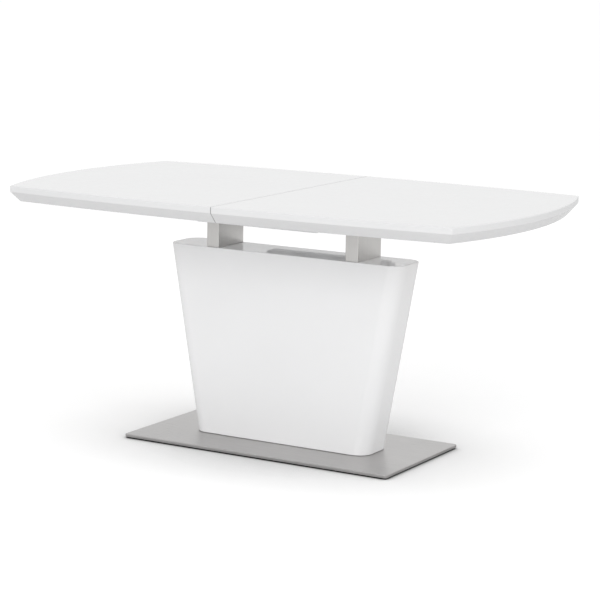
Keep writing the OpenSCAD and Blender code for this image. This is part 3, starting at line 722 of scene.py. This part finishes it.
@dataclass(frozen=True)
class Tabletop:
    """The two halves of the top, each a panel over a bevelled edge frame.

    Attributes:
        top_round: Radius of the panels' upper arris.
        joint_round: Radius of the arrises at the joint between panel and frame.
        foot_round: Radius of the frame's lower outer arris.
        seam_round: Radius of the arrises along the seam.
        undercut: How far the bevel runs in.
        rim: Width of the edge frame.
        landing: Level run inside the frame's lower outer arris.
        bore_depth: Depth of the socket seats from the middle of the table.
        bore_facets: Facets of a socket seat.
        arris_steps: Facets of an arris.
    """

    top_round: float = 2.6 * MM
    joint_round: float = 0.25 * MM
    foot_round: float = 1.6 * MM
    seam_round: float = 1.4 * MM
    undercut: float = 26 * MM
    rim: float = 60 * MM
    landing: float = 3 * MM
    bore_depth: float = 5 * MM
    bore_facets: int = 48
    arris_steps: int = 8

    def outline(self) -> BoatOutline:
        """The outline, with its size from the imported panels."""
        low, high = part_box("left_top_panel")[0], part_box("right_top_panel")[1]
        return BoatOutline(high.x - low.x, high.y - low.y, seam=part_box("right_top_panel")[0].x)

    def panel(self) -> Skin:
        """Right panel: rings from the rim of its underside to the rim of its face."""
        low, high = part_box("right_top_panel")
        inset, height = wall_profile(low.z, high.z, self.joint_round, self.top_round,
                                     self.arris_steps)
        share = self.seam_round / self.top_round
        return Skin().solid(stack(self.outline().path(inset, inset * share), height))

    def frame(self) -> Skin:
        """Right edge frame: its section as a loop, carried from seam to seam.

        The section goes up the bevel, in along the joint, down the pocket's wall and out
        along the underside. The lower outer arris is a fan of short steps between the
        bevel's direction and the level.
        """
        low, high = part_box("right_edge_frame")
        rise = high.z - low.z
        slope = math.atan2(self.undercut, rise)
        t = np.linspace(-math.pi / 2, -slope, self.arris_steps - 1)
        reach = self.foot_round * math.tan((math.pi / 2 - slope) / 2)
        foot_x = self.undercut + reach - self.foot_round * np.cos(t)
        foot_z = low.z + self.foot_round * (1 + np.sin(t))
        foot_x += self.undercut + reach - foot_x[0]
        edge = self.joint_round
        inset = np.concatenate([[self.undercut + self.landing], foot_x,
                                [edge * math.sin(slope), edge, self.rim - edge, self.rim, self.rim,
                                 self.rim - edge]])
        height = np.concatenate([[low.z], foot_z,
                                 [high.z - edge * math.cos(slope), high.z, high.z, high.z - edge,
                                  low.z + edge, low.z]])
        rows = stack(self.outline().path(inset, np.zeros_like(inset)), height)
        made = Skin()
        index = made.grid(rows, around=False, looped=True)
        made.faces += [index[:, 0].tolist(), index[::-1, -1].tolist()]
        return made

    def sockets(self, panel: bpy.types.Object) -> None:
        """Bores the seats of the brass sockets into the left panel's seam face.

        Args:
            panel: The left panel, as a finished object.
        """
        low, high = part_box("dowel_sockets")
        radius, middle = (high.z - low.z) / 2, (high.z + low.z) / 2
        node = FRAME["nodes"]["dowel_sockets"]
        across = np.array([v.co.y for v in node.data.vertices])
        outer = high.y - radius
        inner = across[(across > 0) & (across < outer - 3 * radius)].max() - radius
        angle = arc(0.0, 2 * math.pi, self.bore_facets)
        cutter = Skin()
        for y in (-outer, -inner, inner, outer):
            ring = np.stack([np.zeros_like(angle), y + radius * np.cos(angle),
                             middle + radius * np.sin(angle)], -1)
            cutter.solid(np.stack([ring + [low.x, 0, 0], ring + [self.bore_depth, 0, 0]]))
        mesh = bpy.data.meshes.new("socket_cutter")
        mesh.from_pydata(np.concatenate(cutter.points), [], cutter.faces)
        tool = bpy.data.objects.new("socket_cutter", mesh)
        bpy.context.scene.collection.objects.link(tool)
        step = panel.modifiers.new("sockets", "BOOLEAN")
        step.operation, step.solver, step.object = "DIFFERENCE", "EXACT", tool
        bpy.context.view_layer.update()
        cut = bpy.data.meshes.new_from_object(
            panel.evaluated_get(bpy.context.evaluated_depsgraph_get()))
        panel.modifiers.clear()
        panel.data = cut
        cut.name = panel.name
        bpy.data.objects.remove(tool)

    def build(self) -> None:
        """Makes both panels and both edge frames."""
        for side in ("right", "left"):
            panel, frame = self.panel(), self.frame()
            if side == "left":
                panel, frame = panel.mirrored(), frame.mirrored()
            made = panel.piece(f"{side}_panel_skin", Finishes.top, f"{side}_top",
                               f"{side}_top_panel")
            frame.piece(f"{side}_edge_skin", Finishes.top, f"{side}_top", f"{side}_edge_frame")
            if side == "left":
                self.sockets(made)


# ------------------------------------------------------------------ pedestal and base


@dataclass(frozen=True)
class Pedestal:
    """The tapered body, its cap and its two posts.

    Attributes:
        corner: Radius of the body's upright corners.
        wall: Thickness of the body's wall.
        rim_round: Radius of the upper outer arris.
        joint_round: Radius of the fine arrises at the cap's joint.
        foot_gap: Height of the shadow gap above the base.
        foot_length: Length of the body where it meets the base.
        steps: Facets of an upright corner.
        post_corner: Radius of the folds of a post.
        post_edge: Radius of the arrises at the ends of a post.
        post_wall: Thickness of a post's sheet.
    """

    corner: float = 45 * MM
    wall: float = 14 * MM
    rim_round: float = 2.0 * MM
    joint_round: float = 0.35 * MM
    foot_gap: float = 1.4 * MM
    foot_length: float = 592 * MM
    steps: int = 22
    post_corner: float = 3.2 * MM
    post_edge: float = 0.8 * MM
    post_wall: float = 2 * MM

    def rings(self, inset: Array, height: Array) -> Array:
        """Rings of the tapered body.

        A ring is a rectangle with round corners whose length grows evenly with its height.
        Because the ends lean, the corners and the insets are longer along X by one over
        the cosine of the lean.

        Args:
            inset: How far each ring is set in from the skin.
            height: Height of each ring.

        Returns:
            Points in an array of rings, points and three axes.
        """
        low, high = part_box("pedestal_shell")
        lean = math.atan2(high.x - self.foot_length / 2, high.z - low.z)
        half_x = self.foot_length / 2 + (height - low.z) * math.tan(lean)
        angle = np.concatenate([arc(a, a + math.pi / 2, self.steps, True)
                                for a in np.arange(4) * math.pi / 2])
        side = np.repeat(SIDES, self.steps + 1, 0)
        radius = (self.corner - inset)[:, None]
        stretch = 1 / math.cos(lean)
        middle = half_x[:, None] - self.corner * stretch
        x = side[:, 0] * middle + radius * stretch * np.cos(angle)
        y = side[:, 1] * (high.y - self.corner) + radius * np.sin(angle)
        return stack(np.stack([x, y], -1), height)

    def shell(self) -> Skin:
        """The wall as a closed loop: up the skin, over the rim and down the inside."""
        low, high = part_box("pedestal_shell")
        t = np.linspace(0.0, math.pi / 2, 7)
        edge, fine = self.rim_round, self.joint_round
        gap, deep = self.foot_gap, 3 * self.foot_gap
        inset = np.concatenate([edge * (1 - np.cos(t)), [edge + LEVEL_RUN, self.wall - fine,
                                                         self.wall, self.wall, deep, deep,
                                                         fine, 0.0]])
        height = np.concatenate([high.z - edge * (1 - np.sin(t)),
                                 [high.z, high.z, high.z - fine, low.z, low.z, low.z + gap,
                                  low.z + gap, low.z + gap + fine]])
        made = Skin()
        made.grid(self.rings(inset, height), looped=True)
        return made

    def cap(self) -> Skin:
        """The board that closes the top, flush with the rim."""
        low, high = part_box("pedestal_cap")
        inset, height = wall_profile(low.z, high.z, self.joint_round, self.joint_round, 3)
        return Skin().solid(self.rings(inset + self.wall, height))

    def build(self) -> None:
        """Makes the body, the cap and both posts."""
        self.shell().piece("pedestal_skin", Finishes.pedestal, "base", "pedestal_shell")
        self.cap().piece("cap_skin", Finishes.pedestal, "base", "pedestal_cap")
        for side in ("left", "right"):
            low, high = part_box(f"{side}_post")
            sleeve = Bar(low, high, self.post_edge, self.post_corner).tube(self.post_wall)
            sleeve.piece(f"{side}_post_skin", Finishes.post, "base", f"{side}_post",
                         grain=Grain.UPRIGHT)


@dataclass(frozen=True)
class Base:
    """The steel skin folded over the base plate.

    Attributes:
        corner: Radius of its corners.
        fold: Outer radius of the fold along its edges.
        sheet: Thickness of the sheet.
        cut: Radius of the arris along the sheet's cut edge.
        steps: Facets of a corner.
    """

    corner: float = 8 * MM
    fold: float = 2.0 * MM
    sheet: float = 1.2 * MM
    cut: float = 0.2 * MM
    steps: int = 10

    def cover(self) -> Skin:
        """The sheet: its inner face, down the inside of the skirt, up the outside, its face."""
        low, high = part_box("base_cover")
        middle, half = (low + high) / 2, (high - low) / 2
        shape = RoundedRectangle((middle.x, middle.y), (half.x, half.y), self.corner,
                                 self.steps)
        inset, height = wall_profile(low.z, high.z, self.cut, self.fold)
        inner = self.sheet + self.cut
        inset = np.concatenate([[inner + LEVEL_RUN, inner, self.sheet, self.sheet,
                                 self.sheet - self.cut], inset[1:]])
        height = np.concatenate([[high.z - self.sheet] * 2,
                                 [high.z - inner, low.z + self.cut, low.z], height[1:]])
        return Skin().solid(stack(shape.rings(inset), height))

    def build(self) -> None:
        """Makes the cover."""
        self.cover().piece("cover_skin", Finishes.plate, "base", "base_cover")


# ------------------------------------------------------------------ leaf and frame


@dataclass(frozen=True)
class StoredLeaf:
    """The folded leaf and the bar that it turns on.

    Attributes:
        edge: Radius of the panels' arrises.
        corner: Radius of the panels' corners.
        undercut: How far the leaf's bevel runs in.
        soft: Radius to which the bevelled rails' arrises are eased.
    """

    edge: float = 1.2 * MM
    corner: float = 2.4 * MM
    undercut: float = 26 * MM
    soft: float = 0.8 * MM

    def bevel(self, node: str, upside_down: bool) -> Skin:
        """Bevelled rail of one leaf panel, a section in Y and Z carried along X.

        Args:
            node: Node of the rail.
            upside_down: Whether the bevel opens upwards, as on the folded panel.

        Returns:
            The rail's skin.
        """
        low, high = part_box(node)
        soft = self.soft
        narrow, wide = (high.z, low.z) if upside_down else (low.z, high.z)
        inward = soft if narrow < wide else -soft
        section = np.array([
            [low.y + soft, narrow], [high.y - self.undercut - soft, narrow],
            [high.y - self.undercut + 0.6 * soft, narrow + 0.7 * inward],
            [high.y - 0.3 * soft, wide - 0.5 * inward], [high.y - soft, wide],
            [low.y + soft, wide], [low.y, wide - inward], [low.y, narrow + inward]])
        along = np.array([low.x, high.x])
        rows = np.stack([np.insert(section, 0, x, axis=1) for x in along], 1)
        made = Skin()
        index = made.grid(rows, around=False, looped=True)
        made.faces += [index[:, 0].tolist(), index[::-1, 1].tolist()]
        if not upside_down:
            made.faces = [f[::-1] for f in made.faces]
        return made

    def build(self) -> None:
        """Makes both panels, both bevelled rails and the turning bar."""
        for level in ("lower", "upper"):
            node = f"leaf_{level}_panel"
            Bar(*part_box(node), self.edge, self.corner).solid().piece(
                f"leaf_{level}_panel_skin", Finishes.leaf, "base", node)
            node = f"leaf_{level}_frame"
            self.bevel(node, level == "upper").piece(
                f"leaf_{level}_edge_skin", Finishes.leaf, "base", node)
        Bar(*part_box("leaf_pivot_bar")).solid().piece(
            "leaf_pivot_bar_skin", Finishes.frame, "base", "leaf_pivot_bar")


@dataclass(frozen=True)
class CentreFrame:
    """Plates and battens that carry the rails and tie the halves.

    Attributes:
        edge: Radius of the battens' level arrises.
        corner: Radius of the battens' upright arrises.
    """

    edge: float = 1.2 * MM
    corner: float = 2.2 * MM

    def build(self) -> None:
        """Makes the head plates and the cross battens with softened arrises."""
        for side in ("left", "right"):
            Bar(*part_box(f"{side}_head_plate")).solid().piece(
                f"{side}_head_plate_skin", Finishes.frame, "base", f"{side}_head_plate")
            Bar(*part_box(f"{side}_cross_batten"), self.edge, self.corner).solid().piece(
                f"{side}_cross_batten_skin", Finishes.beech, f"{side}_top",
                f"{side}_cross_batten")


@dataclass(frozen=True)
class Hardware:
    """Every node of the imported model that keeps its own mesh."""

    def build(self) -> None:
        """Gives each shown node the finish of its slot."""
        finishes = Finishes.by_slot()
        for row in FRAME["record"]["subparts"]:
            node = FRAME["nodes"][row["node"]]
            if not node.hide_render:
                dress(node, finishes[row["material_slot"]])
                LOG.info("%s: dressed as %s", row["node"], row["material_slot"])


# ------------------------------------------------------------------ studio


@dataclass(frozen=True)
class Softbox:
    """A square or oblong area light that looks at a point.

    Attributes:
        name: Name of the light.
        place: Where it hangs.
        target: What it faces.
        size: Its width and height.
        power: Its power in watts.
    """

    name: str
    place: tuple[float, float, float]
    target: tuple[float, float, float]
    size: tuple[float, float]
    power: float

    def hang(self) -> None:
        """Adds the light to the scene."""
        data = bpy.data.lights.new(self.name, "AREA")
        data.shape, data.size, data.size_y = "RECTANGLE", *self.size
        data.energy = self.power
        made = bpy.data.objects.new(self.name, data)
        bpy.context.scene.collection.objects.link(made)
        look = Vector(self.target) - Vector(self.place)
        made.matrix_world = (Matrix.Translation(self.place)
                             @ look.to_track_quat("-Z", "Y").to_matrix().to_4x4())


@dataclass(frozen=True)
class Studio:
    """Pale floor, even sky, soft lights and the camera.

    Attributes:
        sky: Radiance of the sky overhead.
        horizon: Radiance of the sky at the horizon.
        floor_half: Half of the floor's size.
        floor_seen: Tone of the floor to the camera, above 1 so that it stays white.
        floor_bounce: Tone of the floor to everything else.
        shadow_reach: Distance within which a painted contact shadow darkens the floor beside what
            stands on it.
        shadow_power: How strongly the painted contact shadow darkens there.
        camera_place: Where the camera stands.
        yaw: Its turn to the left from looking along +Y, in radians.
        pitch: Its tilt downwards, in radians.
        roll: Its roll, in radians.
        lens: Its focal length in millimetres.
        sensor: Width of its sensor in millimetres.
    """

    sky: float = 0.84
    horizon: float = 0.98
    floor_half: float = 70.0
    floor_seen: float = 1.15
    floor_bounce: float = 0.79
    shadow_reach: float = 0.5
    shadow_power: float = 1.15
    camera_place: tuple[float, float, float] = (3.24833, -5.49849, 1.56733)
    yaw: float = 0.5300
    pitch: float = 0.1755
    roll: float = 0.0161
    lens: float = 131.66
    sensor: float = 36.0

    def boxes(self) -> list[Softbox]:
        """The soft lights."""
        return [
            Softbox("front_softbox", (0.9, -5.3, 2.7), (0, 0, 0.4), (3.2, 2.4), 66.0),
            Softbox("right_softbox", (4.2, -1.6, 1.3), (0, 0, 0.4), (0.7, 2.0), 15.0),
        ]

    def floor(self) -> None:
        """Lays a large floor with a fine grain that is brighter to the camera, with a painted
        contact shadow beside what stands on it.
        """
        graph = Graph("studio_floor")
        ray = graph.node("ShaderNodeLightPath").outputs["Is Camera Ray"]
        grain = graph.noise(40.0)
        tone = graph.spread(ray, self.floor_bounce, self.floor_seen, 0.0, 1.0)
        speck = graph.times(tone, graph.spread(grain, 0.997, 1.003))
        # Painted contact shadow: ambient occlusion darkens the floor's colour near what stands on
        # it.
        near = graph.node("ShaderNodeAmbientOcclusion", {"samples": 12}, Distance=self.shadow_reach)
        shade = graph.times(near.outputs["AO"], self.shadow_power, power=True)
        shader = graph.node("ShaderNodeBsdfDiffuse", Color=graph.times(speck, shade))
        graph.feed(graph.output.inputs["Surface"], shader.outputs["BSDF"])
        mesh = bpy.data.meshes.new("floor")
        half = self.floor_half
        mesh.from_pydata([(-half, -half, 0), (half, -half, 0), (half, half, 0), (-half, half, 0)],
                         [], [(0, 1, 2, 3)])
        made = bpy.data.objects.new("floor", mesh)
        bpy.context.scene.collection.objects.link(made)
        made.data.materials.append(graph.material)

    def world(self) -> None:
        """Sets a white sky that is a little brighter at the horizon."""
        made = bpy.data.worlds.new("sky")
        made.use_nodes = True
        nodes, links = made.node_tree.nodes, made.node_tree.links
        back = nodes["Background"]
        split = nodes.new("ShaderNodeSeparateXYZ")
        fade = nodes.new("ShaderNodeMapRange")
        links.new(nodes.new("ShaderNodeTexCoord").outputs["Generated"], split.inputs["Vector"])
        links.new(split.outputs["Z"], fade.inputs["Value"])
        fade.inputs["To Min"].default_value = self.horizon
        fade.inputs["To Max"].default_value = self.sky
        links.new(fade.outputs["Result"], back.inputs["Strength"])
        back.inputs["Color"].default_value = (1.0, 1.0, 1.0, 1.0)
        bpy.context.scene.world = made

    def camera(self) -> None:
        """Stands the camera: forward from yaw and pitch, then the roll about it."""
        forward = Vector((-math.sin(self.yaw) * math.cos(self.pitch),
                          math.cos(self.yaw) * math.cos(self.pitch), -math.sin(self.pitch)))
        right = Vector((math.cos(self.yaw), math.sin(self.yaw), 0.0))
        up = right.cross(forward)
        turned = math.cos(self.roll) * right + math.sin(self.roll) * up
        upright = -math.sin(self.roll) * right + math.cos(self.roll) * up
        data = bpy.data.cameras.new("camera")
        data.lens, data.sensor_width = self.lens, self.sensor
        data.clip_end = 4 * self.floor_half
        made = bpy.data.objects.new("camera", data)
        bpy.context.scene.collection.objects.link(made)
        turn = Matrix((turned, upright, -forward)).transposed().to_4x4()
        made.matrix_world = Matrix.Translation(self.camera_place) @ turn
        bpy.context.scene.camera = made

    def build(self) -> None:
        """Makes the floor, the sky, the lights and the camera."""
        bpy.context.scene.view_settings.view_transform = "Standard"
        self.floor()
        self.world()
        for box in self.boxes():
            box.hang()
        self.camera()


def main() -> None:
    """Builds the table's looks in order, then the studio around it."""
    logging.basicConfig(level=logging.INFO, format="%(name)s %(message)s")
    for part in (Tabletop(), Pedestal(), Base(), StoredLeaf(), CentreFrame(), Hardware(), Studio()):
        LOG.info("building %s", type(part).__name__)
        part.build()


if __name__ == "__main__":
    main()
